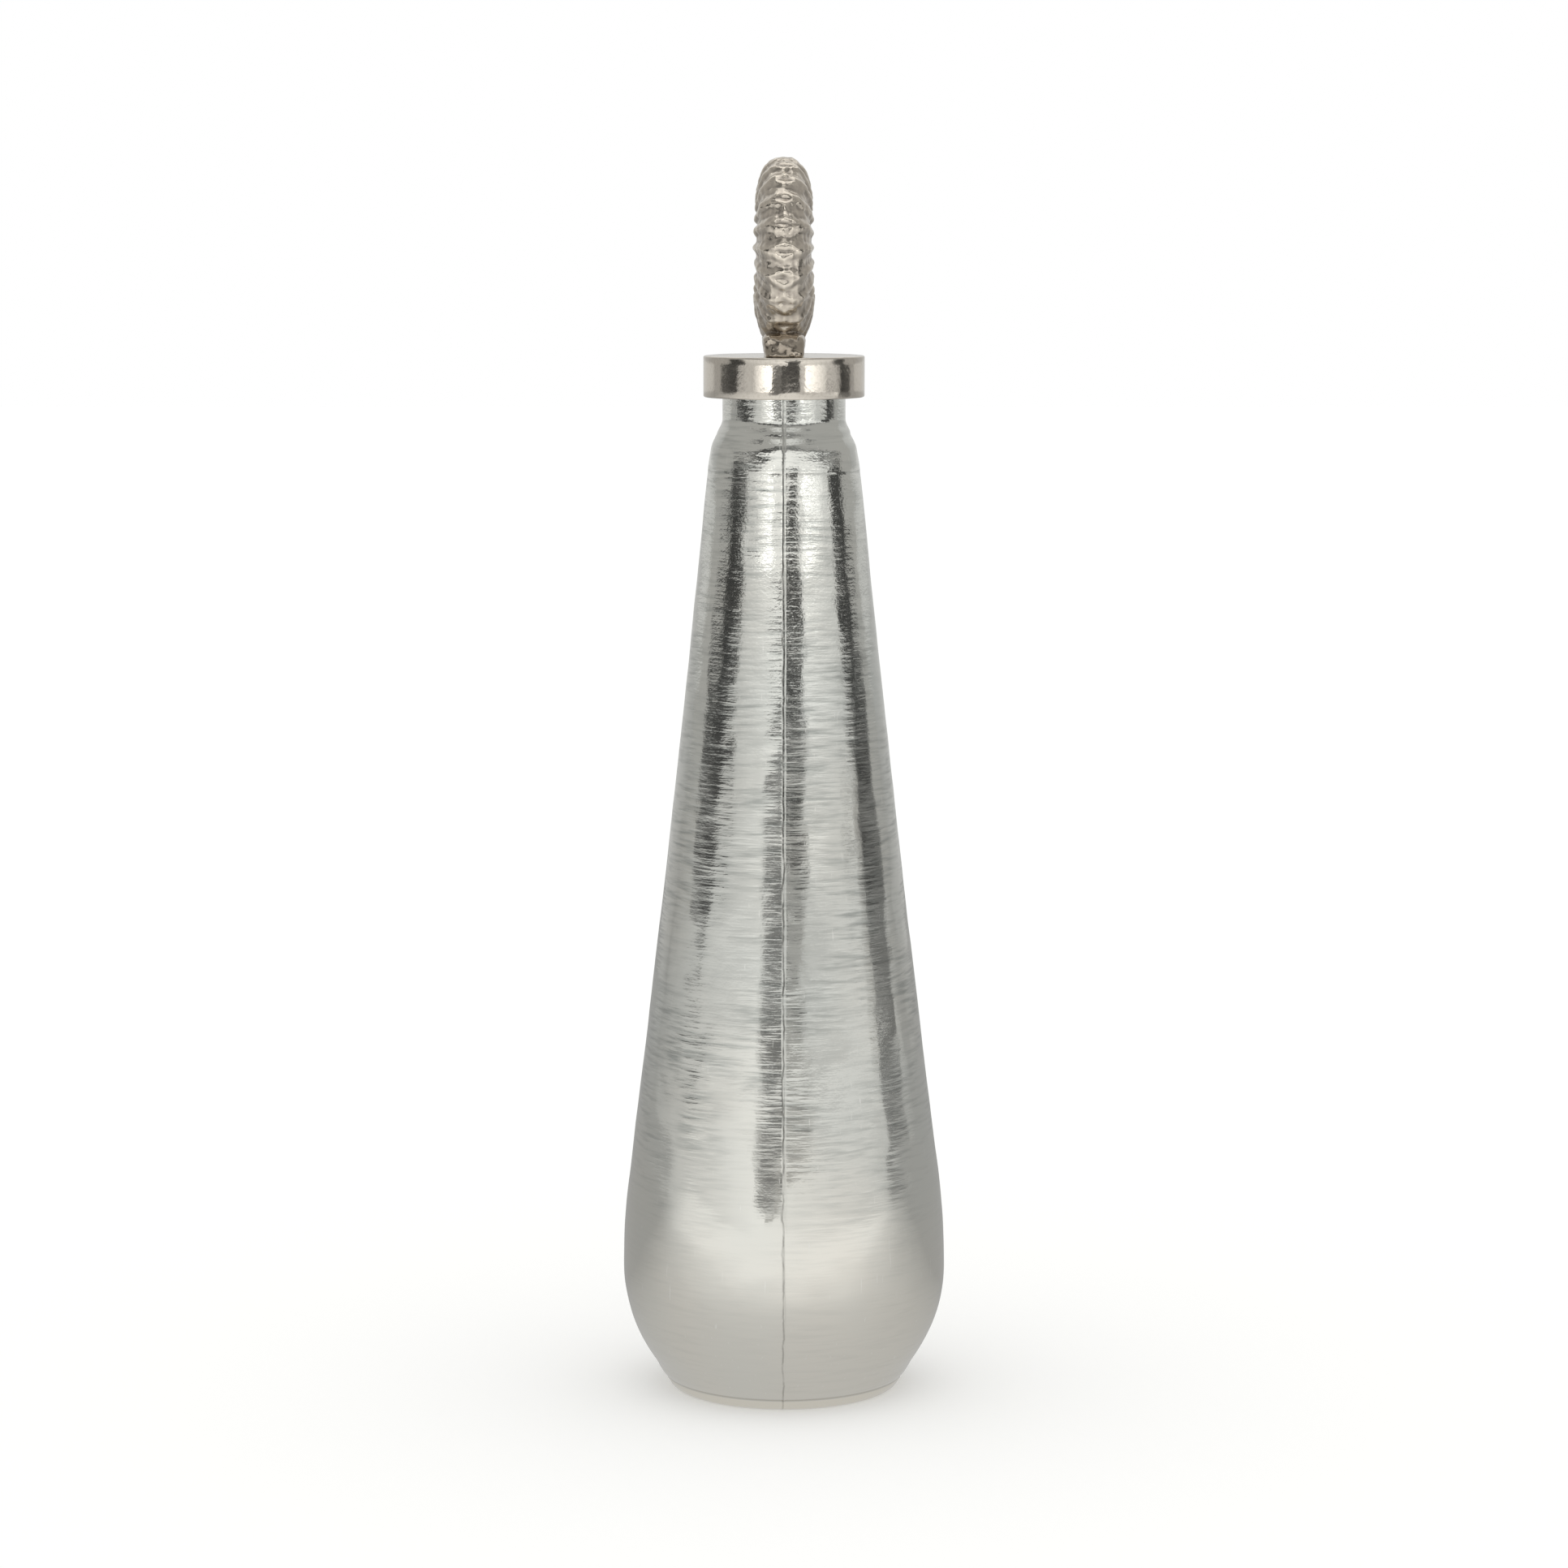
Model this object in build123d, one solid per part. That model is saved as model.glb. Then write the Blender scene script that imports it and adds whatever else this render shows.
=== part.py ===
"""Silvered glass bottle with a plated lid and a coiled shell finial.

Frame: millimetres, +Z up, origin at the centre of the standing ring, on the surface it stands on.
The mould seam is at the front (-Y) and at the back (+Y). The shell's disc stands in the YZ plane.
"""

from build123d import *
from math import atan2, cos, degrees, hypot, radians, sin
import os

# Bottle, outside
belly_radius = 57.3
belly_height = 43.6
lower_belly_arc = 57.0
upper_belly_arc = 245.0
heel_slope = 33.0  # degrees from upright, just above the standing ring
heel_fillet = 2.6
taper_arc = 8660.0  # the long side is hollow by about a millimetre
shoulder_height = 331.0
shoulder_step = 4.8  # shoulder radius over neck radius
shoulder_fillet = 11.0
cone_slope = 30.0  # degrees from upright, between shoulder and neck
neck_radius = 21.35
neck_fillet = 6.0
neck_height = 16.2  # straight part, up to the mouth rim
lip_out = 1.4
lip_height = 5.0
lip_rounding = 1.2

# Bottle, inside
wall = 3.1
base_thickness = 6.0
push_up = 4.0
ring_width = 5.0
cavity_heel = 4.0
seam_height = 0.35
seam_width = 0.8

# Lid
lid_wall = 2.5
lid_top = 3.5
lid_depth = 10.9  # inside height of the skirt
lid_clearance = 2.75  # skirt to glass lip
lid_rounding = 0.6
gasket_thickness = 1.5
seat_gap = 0.1  # lid gasket over the glass rim

# Stopper
plug_length = 22.0  # below the rim
plug_clearance = 1.0  # plug to neck bore
ring_wire = 1.3  # radius of a seal ring's section
ring_gap = 0.05  # seal ring to bore and to its groove
ring_pitch = 5.5
ring_count = 3
plug_chamfer = 1.0
fit_gap = 0.05  # pieces that locate on each other

# Screw set
screw_radius = 2.5
screw_clearance = 0.25
head_ratio = 1.7  # head to shank
socket_ratio = 0.8  # half of the hexagon across flats to shank radius
flat_washer_ratio = 2.0
flat_washer_thickness = 1.0
lock_washer_ratio = 1.84
lock_washer_thickness = 1.2
lock_washer_slit = 1.0
counterbore_clearance = 1.0
head_recess = 1.0  # head below the plug's end
thread_depth = 9.0  # in the finial's foot
drill_point = 1.0  # hole beyond the screw's end

# Finial
coil_bottom_radius = 37.3
coil_growth = 1.5  # per turn
coil_half_thickness = 9.6
rib_height = 0.5
ribs_per_turn = 20
mouth_turn = 0.1  # the coil's open end, past its lowest point towards the back
umbilicus = 0.5  # edge of the hollow flank, as a share of the coil's radius
hub_radius = 7.0
hub_half_thickness = 5.0
foot_height = 8.0
foot_width = 14.0
foot_set_back = 5.0  # from the lid's edge
foot_rounding = 2.5
foot_sink = 0.8  # the coil's lowest point over the lid

os.makedirs("parts", exist_ok=True)


# Places that follow from the sizes above

bore_radius = neck_radius - wall
lip_radius = neck_radius + lip_out
shoulder_radius = neck_radius + shoulder_step
lower_centre = (belly_radius - lower_belly_arc, belly_height)
upper_centre = (belly_radius - upper_belly_arc, belly_height)


def circle_meeting():
    """Centre of the taper's arc: outside the belly's upper arc and through the shoulder point."""
    across = shoulder_radius - upper_centre[0]
    up = shoulder_height - upper_centre[1]
    span = hypot(across, up)
    reach = upper_belly_arc + taper_arc
    along = (reach**2 - taper_arc**2 + span**2) / (2 * span)
    side = (reach**2 - along**2) ** 0.5
    x = upper_centre[0] + (along * across + side * up) / span
    z = upper_centre[1] + (along * up - side * across) / span
    return x, z


taper_centre = circle_meeting()
taper_low = degrees(atan2(taper_centre[1] - belly_height, taper_centre[0] - upper_centre[0]))
taper_high = degrees(atan2(taper_centre[1] - shoulder_height, taper_centre[0] - shoulder_radius))
shoulder_centre = (
    shoulder_radius - shoulder_fillet * cos(radians(taper_high)),
    shoulder_height - shoulder_fillet * sin(radians(taper_high)),
)
cone_run = (
    shoulder_centre[0]
    + shoulder_fillet * cos(radians(cone_slope))
    - neck_radius
    - neck_fillet * (1 - cos(radians(cone_slope)))
) / sin(radians(cone_slope))
neck_start = (
    shoulder_centre[1]
    + shoulder_fillet * sin(radians(cone_slope))
    + cone_run * cos(radians(cone_slope))
    + neck_fillet * sin(radians(cone_slope))
)
neck_centre = (neck_radius + neck_fillet, neck_start)
rim_height = neck_start + neck_height

heel_top = (
    lower_centre[0] + lower_belly_arc * cos(radians(heel_slope)),
    lower_centre[1] - lower_belly_arc * sin(radians(heel_slope)),
)
heel_rise = heel_top[1] - heel_fillet * (1 - sin(radians(heel_slope)))
heel_centre = (
    heel_top[0] - heel_rise * sin(radians(heel_slope)) / cos(radians(heel_slope))
    - heel_fillet * cos(radians(heel_slope)),
    heel_fillet,
)

lid_under = rim_height + seat_gap + gasket_thickness
lid_face = lid_under + lid_top
skirt_inside = lip_radius + lid_clearance
lid_radius = skirt_inside + lid_wall
lid_low = lid_under - lid_depth

plug_low = rim_height - plug_length
plug_radius = bore_radius - plug_clearance
ring_centre = bore_radius - ring_gap - ring_wire
groove_radius = ring_centre - ring_wire - ring_gap
ring_heights = [rim_height - ring_pitch * (index + 0.8) for index in range(ring_count)]
counterbore_radius = screw_radius * flat_washer_ratio + counterbore_clearance
head_height = screw_radius * 2
lock_washer_low = plug_low + head_recess + head_height
flat_washer_low = lock_washer_low + lock_washer_thickness
counterbore_top = flat_washer_low + flat_washer_thickness

foot_length = 2 * (lid_radius - foot_set_back)
coil_height = lid_face + foot_sink + coil_bottom_radius


def put(node, shape):
    """Write one named piece."""
    shape.label = node
    export_step(shape, f"parts/{node}.step")


def post(radius, low, high):
    """Upright cylinder on the axis, from one height to another."""
    return Pos(0, 0, low) * Cylinder(
        radius, high - low, align=(Align.CENTER, Align.CENTER, Align.MIN)
    )


def ring(outer, inner, low, height):
    """Flat ring about the upright axis."""
    return post(outer, low, low + height) - post(inner, low, low + height)


def outline(inset, top):
    """The bottle's side from the heel to a height on the neck, moved in from the outside face."""
    low_arc = CenterArc(lower_centre, lower_belly_arc - inset, -heel_slope, heel_slope)
    high_arc = CenterArc(upper_centre, upper_belly_arc - inset, 0, taper_low)
    taper = CenterArc(taper_centre, taper_arc + inset, 180 + taper_low, taper_high - taper_low)
    shoulder = CenterArc(
        shoulder_centre, shoulder_fillet - inset, taper_high, cone_slope - taper_high
    )
    neck = CenterArc(neck_centre, neck_fillet + inset, 180 + cone_slope, -cone_slope)
    cone = Line(shoulder @ 1, neck @ 0)
    upright = Line(neck @ 1, (neck_radius - inset, top))
    return [low_arc, high_arc, taper, shoulder, cone, neck, upright]


def turned(lines, closing):
    """Turn a half outline, closed by a path from its top back to its bottom."""
    start = lines[-1] @ 1
    end = lines[0] @ 0
    path = Polyline((start.X, start.Y), *closing, (end.X, end.Y))
    return revolve(Plane.XZ * make_face([*lines, path]), Axis.Z)


def bottle_body():
    """Outside of the bottle as a full solid, with its heel, standing ring and lip."""
    heel_arc = CenterArc(heel_centre, heel_fillet, -90, 90 - heel_slope)
    heel_line = Line(heel_arc @ 1, heel_top)
    side = [heel_arc, heel_line, *outline(0, rim_height - lip_height / 2)]
    body = turned(side, [(0, rim_height - lip_height / 2), (0, 0)])
    lip = post(lip_radius, rim_height - lip_height, rim_height)
    return body + fillet(lip.edges().filter_by(GeomType.CIRCLE), lip_rounding)


def bottle_cavity():
    """Inside of the bottle, open at the mouth, with a rounded corner at its floor."""
    low = push_up + base_thickness
    slope = radians(heel_slope)
    start = (heel_top[0] - wall * cos(slope), heel_top[1] + wall * sin(slope))
    corner = (start[0] - (start[1] - low) * sin(slope) / cos(slope), low)
    side = [Line(corner, start), *outline(wall, rim_height + lip_height)]
    cavity = turned(side, [(0, rim_height + lip_height), (0, low)])
    floor_edge = cavity.edges().filter_by(GeomType.CIRCLE).sort_by(Axis.Z)[0]
    return fillet(floor_edge, cavity_heel)


def mould_seams():
    """Two thin ridges where the halves of the mould met, front and back."""
    outside = outline(-seam_height, lid_low)
    root = outline(wall / 2, lid_low)
    top_end = Line(root[-1] @ 1, outside[-1] @ 1)
    low_end = Line(root[0] @ 0, outside[0] @ 0)
    face = Plane.YZ * make_face([*outside, *root, top_end, low_end])
    fin = extrude(face, seam_width / 2, both=True)
    return fin + mirror(fin, Plane.XZ)


def glass_bottle():
    """Blown glass with a pushed-up base, a plain bore and the ridges of its mould."""
    inner_ring = heel_centre[0] - ring_width
    bowl_radius = (inner_ring**2 + push_up**2) / (2 * push_up)
    bowl = Pos(0, 0, push_up - bowl_radius) * Sphere(bowl_radius)
    solid = bottle_body() + mould_seams()
    return solid - bottle_cavity() - bowl


def lid_cap():
    """Round lid: a flat top, a skirt over the glass lip and a hole for the screw."""
    outer = post(lid_radius, lid_low, lid_face)
    outer = fillet(outer.edges().filter_by(GeomType.CIRCLE), lid_rounding)
    inside = post(skirt_inside, lid_low, lid_under)
    return outer - inside - post(screw_radius + screw_clearance, lid_under, lid_face)


def stopper_core():
    """Turned plug with grooves for the seal rings and a counterbore for the screw set."""
    plug = post(plug_radius, plug_low, lid_under)
    plug = chamfer(plug.edges().filter_by(GeomType.CIRCLE).sort_by(Axis.Z)[0], plug_chamfer)
    for height in ring_heights:
        groove = ring_wire + ring_gap
        plug -= ring(bore_radius, groove_radius, height - groove, 2 * groove)
    plug -= post(counterbore_radius, plug_low, counterbore_top)
    return plug - post(screw_radius + screw_clearance, plug_low, lid_under)


def lid_gasket():
    """Flat ring that lies on the glass rim, round the top of the plug."""
    return ring(lip_radius, plug_radius + fit_gap, lid_under - gasket_thickness, gasket_thickness)


def clamp_screw():
    """Socket screw from below; its thread is drawn as a plain shank."""
    head_low = plug_low + head_recess
    head = post(screw_radius * head_ratio, head_low, head_low + head_height)
    shank = post(screw_radius, head_low, lid_face + thread_depth)
    socket = extrude(RegularPolygon(screw_radius * socket_ratio, 6, major_radius=False), screw_radius)
    return head + shank - Pos(0, 0, head_low) * socket


def flat_washer():
    """Plain washer against the plug."""
    return ring(
        screw_radius * flat_washer_ratio,
        screw_radius + screw_clearance,
        flat_washer_low,
        flat_washer_thickness,
    )


def lock_washer():
    """Split spring washer, pressed flat under the screw's head."""
    body = ring(
        screw_radius * lock_washer_ratio, screw_radius + fit_gap, lock_washer_low, lock_washer_thickness
    )
    slit = Box(4 * screw_radius, lock_washer_slit, 4 * lock_washer_thickness)
    slit = Pos(2 * screw_radius, 0, lock_washer_low) * (Rot(30, 0, 0) * slit)
    return body - slit


def coil_section(step):
    """Half section of the shell, in the half plane at a step of half a rib back from its mouth."""
    turn = step / (2 * ribs_per_turn) - mouth_turn
    dip = rib_height if step % 2 else 0.0
    radius = coil_bottom_radius * coil_growth**-turn - dip
    half = coil_half_thickness - dip
    shoulder = radius * umbilicus
    curve = [
        (half * cos(radians(arc)), shoulder + (radius - shoulder) * sin(radians(arc)))
        for arc in (0, 20, 40, 58, 74)
    ]
    side = [(hub_half_thickness, hub_radius * 0.8), (half * 0.75, shoulder * 0.85), *curve]
    points = side + [(-across, out) for across, out in reversed(side)]
    angle = radians(360 * turn)
    corners = [
        (across, -out * sin(angle), coil_height - out * cos(angle)) for across, out in points
    ]
    return Wire.make_polygon(corners)


def finial():
    """Cast shell: one turn of a ribbed coil round a hub, on a foot that is tapped from below."""
    front = Solid.make_loft([coil_section(step) for step in range(ribs_per_turn + 1)], True)
    back = Solid.make_loft(
        [coil_section(step) for step in range(ribs_per_turn, 2 * ribs_per_turn + 1)], True
    )
    hub = Pos(0, 0, coil_height) * Rot(0, 90, 0) * Cylinder(hub_radius, 2 * hub_half_thickness)
    foot = Pos(0, 0, lid_face) * Box(
        foot_width, foot_length, foot_height, align=(Align.CENTER, Align.CENTER, Align.MIN)
    )
    foot = fillet(foot.edges().filter_by(Axis.Z), foot_rounding)
    tapped = post(screw_radius + fit_gap, lid_face, lid_face + thread_depth + drill_point)
    return front + back + hub + foot - tapped


put("glass_bottle", glass_bottle())
put("lid_cap", lid_cap())
put("lid_gasket", lid_gasket())
put("stopper_core", stopper_core())
for index, height in enumerate(ring_heights, start=1):
    put(f"seal_ring_{index}", Pos(0, 0, height) * Torus(ring_centre, ring_wire))
put("clamp_screw", clamp_screw())
put("flat_washer", flat_washer())
put("lock_washer", lock_washer())
put("finial", finial())
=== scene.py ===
"""A tall silvered glass bottle with a nickel-plated lid and a cast ammonite as its finial.

Metres, +Z up, the mould seam at the front (-Y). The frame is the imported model.
"""

from math import atan2, cos, degrees, hypot, pi, radians, sin, tan

import bpy
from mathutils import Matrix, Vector


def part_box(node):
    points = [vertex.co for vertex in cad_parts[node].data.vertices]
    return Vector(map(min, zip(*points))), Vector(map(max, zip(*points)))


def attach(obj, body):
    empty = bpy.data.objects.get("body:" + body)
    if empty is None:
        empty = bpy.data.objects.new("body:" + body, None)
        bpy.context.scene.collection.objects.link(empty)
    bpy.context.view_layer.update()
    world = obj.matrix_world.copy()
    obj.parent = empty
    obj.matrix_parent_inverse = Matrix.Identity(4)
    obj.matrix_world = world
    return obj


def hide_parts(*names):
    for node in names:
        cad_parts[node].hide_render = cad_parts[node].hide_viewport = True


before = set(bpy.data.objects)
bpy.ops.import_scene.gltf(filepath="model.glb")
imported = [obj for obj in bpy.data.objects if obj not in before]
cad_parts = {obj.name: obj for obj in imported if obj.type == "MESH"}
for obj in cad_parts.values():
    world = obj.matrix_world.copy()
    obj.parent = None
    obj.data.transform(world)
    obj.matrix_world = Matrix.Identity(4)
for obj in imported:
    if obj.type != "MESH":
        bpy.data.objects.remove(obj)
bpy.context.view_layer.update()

MM = 0.001
WELD = 0.002 * MM  # points closer than this are made one

# Outline of the glass, from the CAD bottle's rim and widest place; slopes are degrees from upright
BOTTLE_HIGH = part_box("glass_bottle")[1]
BELLY = BOTTLE_HIGH.x
RIM = BOTTLE_HIGH.z
BELLY_HEIGHT = 43.6 * MM
LOWER_ARC = 57.0 * MM
UPPER_ARC = 245.0 * MM
TAPER_ARC = 8660.0 * MM
HEEL_SLOPE = 33.0
HEEL_FILLET = 2.6 * MM
SHOULDER = 26.15 * MM
SHOULDER_HEIGHT = 331.0 * MM
SHOULDER_FILLET = 11.0 * MM
CONE_SLOPE = 30.0
NECK = 21.35 * MM
NECK_FILLET = 6.0 * MM
LIP = 22.75 * MM
LIP_HEIGHT = 5.0 * MM
WALL = 3.1 * MM
BORE = NECK - WALL
PUSH_UP = 4.0 * MM
FLOOR = 10.0 * MM
RING_WIDTH = 5.0 * MM
SEAM_HEIGHT = 0.62 * MM
SEAM_WIDTH = 0.9 * MM
SEAM_WANDER = 0.7 * MM
SEAM_START = 1.5 * MM
SEAM_END = 1.0 * MM  # under the lip
BASE_GROOVE = ((2.6, 0.0), (3.3, 0.05), (3.7, 0.45), (4.1, 0.45), (4.5, 0.05), (5.4, 0.0))  # height, depth
CREASE = 324.5 * MM  # a mark of the mould, where the side turns in a little under the shoulder
CREASE_HALF = 0.5 * MM
CREASE_LEANS = (6.7, 11.0)  # degrees from upright, just above the crease and at the shoulder


# ---------------------------------------------------------------- modelling helpers


def clear():
    """Leave edit mode with nothing selected."""
    if bpy.context.object and bpy.context.object.mode == "EDIT":
        bpy.ops.object.mode_set(mode="OBJECT")
    bpy.ops.object.select_all(action="DESELECT")


def edit(piece):
    """Open one piece for editing with nothing in it selected."""
    clear()
    bpy.context.view_layer.objects.active = piece
    piece.select_set(True)
    bpy.ops.object.mode_set(mode="EDIT")
    bpy.ops.mesh.select_all(action="DESELECT")


def pick(piece, kind, test):
    """Select the vertices, edges or faces of the piece being edited that pass a test."""
    bpy.ops.mesh.select_all(action="DESELECT")
    bpy.ops.mesh.select_mode(type={"vertices": "VERT", "edges": "EDGE", "polygons": "FACE"}[kind])
    bpy.ops.object.mode_set(mode="OBJECT")
    for part in getattr(piece.data, kind):
        part.select = bool(test(part))
    bpy.ops.object.mode_set(mode="EDIT")


def settle(piece):
    """Apply the piece's place, so that its object is at the origin."""
    clear()
    bpy.context.view_layer.objects.active = piece
    piece.select_set(True)
    bpy.ops.object.transform_apply(location=True, rotation=True, scale=True)


def modify(piece, kind, **settings):
    """Add one modifier and apply it."""
    clear()
    bpy.context.view_layer.objects.active = piece
    piece.select_set(True)
    modifier = piece.modifiers.new(kind.lower(), kind)
    for key, value in settings.items():
        setattr(modifier, key, value)
    bpy.ops.object.modifier_apply(modifier=modifier.name)


def smooth(piece, angle=180):
    """Shade smooth, with edges sharper than the angle left crisp."""
    clear()
    bpy.context.view_layer.objects.active = piece
    piece.select_set(True)
    bpy.ops.object.shade_smooth_by_angle(angle=radians(angle))


def lathe(name, outline, columns, closed=False):
    """A piece turned from a half outline of (radius, height) points about the upright axis."""
    clear()
    bpy.ops.mesh.primitive_plane_add(size=MM, location=(outline[0][0], 0, outline[0][1]))
    piece = bpy.context.object
    piece.name = name
    settle(piece)
    bpy.ops.object.mode_set(mode="EDIT")
    bpy.ops.mesh.select_mode(type="VERT")
    bpy.ops.mesh.select_all(action="SELECT")
    bpy.ops.mesh.merge(type="CENTER")
    path = outline + outline[:1] if closed else outline
    for before, after in zip(path, path[1:]):
        step = (after[0] - before[0], 0, after[1] - before[1])
        bpy.ops.mesh.extrude_region_move(TRANSFORM_OT_translate={"value": step})
    bpy.ops.mesh.select_all(action="SELECT")
    bpy.ops.mesh.spin(steps=columns, angle=2 * pi, center=(0, 0, 0), axis=(0, 0, 1))
    bpy.ops.mesh.select_all(action="SELECT")
    bpy.ops.mesh.remove_doubles(threshold=WELD)
    bpy.ops.mesh.normals_make_consistent(inside=False)
    bpy.ops.mesh.select_all(action="DESELECT")
    clear()
    return piece


def arc(centre, radius, start, sweep, steps):
    """Points along an arc, the angles in degrees from the outward direction."""
    turns = [radians(start + sweep * step / steps) for step in range(steps + 1)]
    return [(centre[0] + radius * cos(turn), centre[1] + radius * sin(turn)) for turn in turns]


def line(start, end, steps):
    """Points along a straight line, without its ends."""
    shares = [step / steps for step in range(1, steps)]
    return [
        (start[0] + (end[0] - start[0]) * share, start[1] + (end[1] - start[1]) * share)
        for share in shares
    ]


# ---------------------------------------------------------------- the bottle


def side(inset, fine):
    """The glass from its heel to its neck, moved in from the outside face, with more points if fine."""
    low = (BELLY - LOWER_ARC, BELLY_HEIGHT)
    high = (BELLY - UPPER_ARC, BELLY_HEIGHT)
    across, up = SHOULDER - high[0], SHOULDER_HEIGHT - high[1]
    span = hypot(across, up)
    reach = UPPER_ARC + TAPER_ARC
    along = (reach**2 - TAPER_ARC**2 + span**2) / (2 * span)
    aside = (reach**2 - along**2) ** 0.5
    centre = (
        high[0] + (along * across + aside * up) / span,
        high[1] + (along * up - aside * across) / span,
    )
    lean_low = degrees(atan2(centre[1] - high[1], centre[0] - high[0]))
    lean_high = degrees(atan2(centre[1] - SHOULDER_HEIGHT, centre[0] - SHOULDER))
    turn = radians(lean_high)
    bend = (SHOULDER - SHOULDER_FILLET * cos(turn), SHOULDER_HEIGHT - SHOULDER_FILLET * sin(turn))
    cone = radians(CONE_SLOPE)
    run = (bend[0] + SHOULDER_FILLET * cos(cone) - NECK - NECK_FILLET * (1 - cos(cone))) / sin(cone)
    neck = (
        NECK + NECK_FILLET,
        bend[1] + (SHOULDER_FILLET + NECK_FILLET) * sin(cone) + run * cos(cone),
    )
    lower = arc(low, LOWER_ARC - inset, -HEEL_SLOPE, HEEL_SLOPE, 14 if fine else 6)
    upper = arc(high, UPPER_ARC - inset, 0, lean_low, 9 if fine else 3)
    taper = arc(centre, TAPER_ARC + inset, 180 + lean_low, lean_high - lean_low, 48 if fine else 8)
    shoulder = arc(bend, SHOULDER_FILLET - inset, lean_high, CONE_SLOPE - lean_high, 5 if fine else 2)
    fillet = arc(neck, NECK_FILLET + inset, 180 + CONE_SLOPE, -CONE_SLOPE, 6 if fine else 3)
    between = line(shoulder[-1], fillet[0], 3) if fine else []
    path = lower + upper[1:] + taper[1:] + shoulder[1:] + between + fillet
    return crease(path) if fine else path


def crease(path):
    """Turns the side in above the crease, more and more towards the shoulder, where it settles again."""
    lower = [point for point in path if point[1] < CREASE]
    upper = [point for point in path if point[1] > SHOULDER_HEIGHT - 0.1 * MM]
    start, end = lower[-1], upper[0]
    share = (CREASE - start[1]) / (end[1] - start[1])
    radius = start[0] + (end[0] - start[0]) * share
    foot = CREASE + CREASE_HALF
    run = end[1] - foot
    first, last = (tan(radians(lean)) for lean in CREASE_LEANS)
    mark = [(radius, CREASE + CREASE_HALF * share) for share in (-1, -0.24, 0.24, 1)]
    bulge = [
        (radius - first * climb - (last - first) * climb**2 / (2 * run), foot + climb)
        for climb in (run * step / 6 for step in range(1, 7))
    ]
    depth = end[0] - bulge[-1][0]
    rounded = end[1] + SHOULDER_FILLET * (sin(radians(CONE_SLOPE)) - sin(radians(CREASE_LEANS[0])))
    settled = [
        (wide - depth * min(1.0, (path[-1][1] - height) / (path[-1][1] - rounded)), height)
        for wide, height in upper[1:]
    ]
    return lower + mark + bulge + settled


def bottle_outline():
    """From the middle of the pushed-up base, round the outside, over the lip and down the inside."""
    outside = side(0, True)
    inside = side(WALL, False)
    slope = radians(HEEL_SLOPE)
    rise = outside[0][1] - HEEL_FILLET * (1 - sin(slope))
    ring = outside[0][0] - rise * tan(slope) - HEEL_FILLET * cos(slope)
    heel = arc((ring, HEEL_FILLET), HEEL_FILLET, -90, 90 - HEEL_SLOPE, 5)
    bowl = ring - RING_WIDTH
    dome = (bowl**2 + PUSH_UP**2) / (2 * PUSH_UP)
    base = [
        (bowl * share, PUSH_UP - dome + (dome**2 - (bowl * share) ** 2) ** 0.5)
        for share in (0, 0.08, 0.3, 0.55, 0.8, 0.95, 1)
    ]
    neck_top = RIM - LIP_HEIGHT
    bead = LIP_HEIGHT * 0.22
    lip = (
        line(outside[-1], (NECK, neck_top), 5)
        + [(NECK, neck_top)]
        + arc((LIP - bead, neck_top + bead), bead, -70, 70, 4)
        + arc((LIP - bead, RIM - bead), bead, 0, 90, 4)
        + arc((BORE + bead * 0.6, RIM - bead * 0.6), bead * 0.6, 90, 90, 3)
    )
    inner_heel = (inside[0][0] - (inside[0][1] - FLOOR) * tan(slope), FLOOR)
    bottom = [
        (inner_heel[0] + 1.2 * MM, FLOOR + 2.2 * MM),
        (inner_heel[0] - 0.6 * MM, FLOOR + 0.5 * MM),
        (inner_heel[0] - 3.0 * MM, FLOOR),
        (inner_heel[0] * 0.5, FLOOR),
        (inner_heel[0] * 0.1, FLOOR),
        (0, FLOOR),
    ]
    rim_to_neck = line((BORE, RIM - bead), inside[-1], 4)
    band = [
        (heel[-1][0] + (height * MM - heel[-1][1]) * tan(slope) - depth * MM, height * MM)
        for height, depth in BASE_GROOVE
    ]
    flank = line(band[-1], outside[0], 4)
    return base + line(base[-1], heel[0], 3) + heel + band + flank + outside + lip + (
        rim_to_neck + inside[::-1] + bottom
    )


def faces_out(vertex):
    """True on the outside of the glass: its normal leans away from the axis."""
    return vertex.normal.x * vertex.co.x + vertex.normal.y * vertex.co.y > 0


def raise_seams(glass):
    """Narrow strips up the front and back, pushed out where the halves of the mould met."""
    low, high = SEAM_START, RIM - LIP_HEIGHT - SEAM_END
    edit(glass)

    def on_seam(vertex):
        return abs(vertex.co.x) < 0.01 * MM and low < vertex.co.z < high and faces_out(vertex)

    vertices = glass.data.vertices
    pick(glass, "edges", lambda edge: all(on_seam(vertices[index]) for index in edge.vertices))
    bpy.ops.mesh.bevel(offset=SEAM_WIDTH, segments=4, affect="EDGES")
    pick(glass, "vertices", on_seam)
    bpy.ops.transform.shrink_fatten(value=SEAM_HEIGHT)
    clear()
    strip = glass.vertex_groups.new(name="seam")
    strip.add([v.index for v in vertices if abs(v.co.x) < 0.7 * MM and faces_out(v)], 1.0, "REPLACE")
    wander(glass, "seam kinks", 13 * MM, SEAM_WANDER, EITHER_WAY, "seam", "X")


# Where the unmoved surface lies in the range of a displacement
EITHER_WAY = 0.5
INWARDS = 1.0


def wander(piece, name, grain, depth, mid, group="", direction="NORMAL"):
    """Move the surface by a soft cloud pattern of a given grain, by up to the depth in all."""
    cloud = bpy.data.textures.new(name, "CLOUDS")
    cloud.noise_scale = grain
    cloud.noise_depth = 1
    modify(
        piece,
        "DISPLACE",
        texture=cloud,
        texture_coords="LOCAL",
        strength=depth,
        mid_level=mid,
        vertex_group=group,
        direction=direction,
    )


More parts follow.
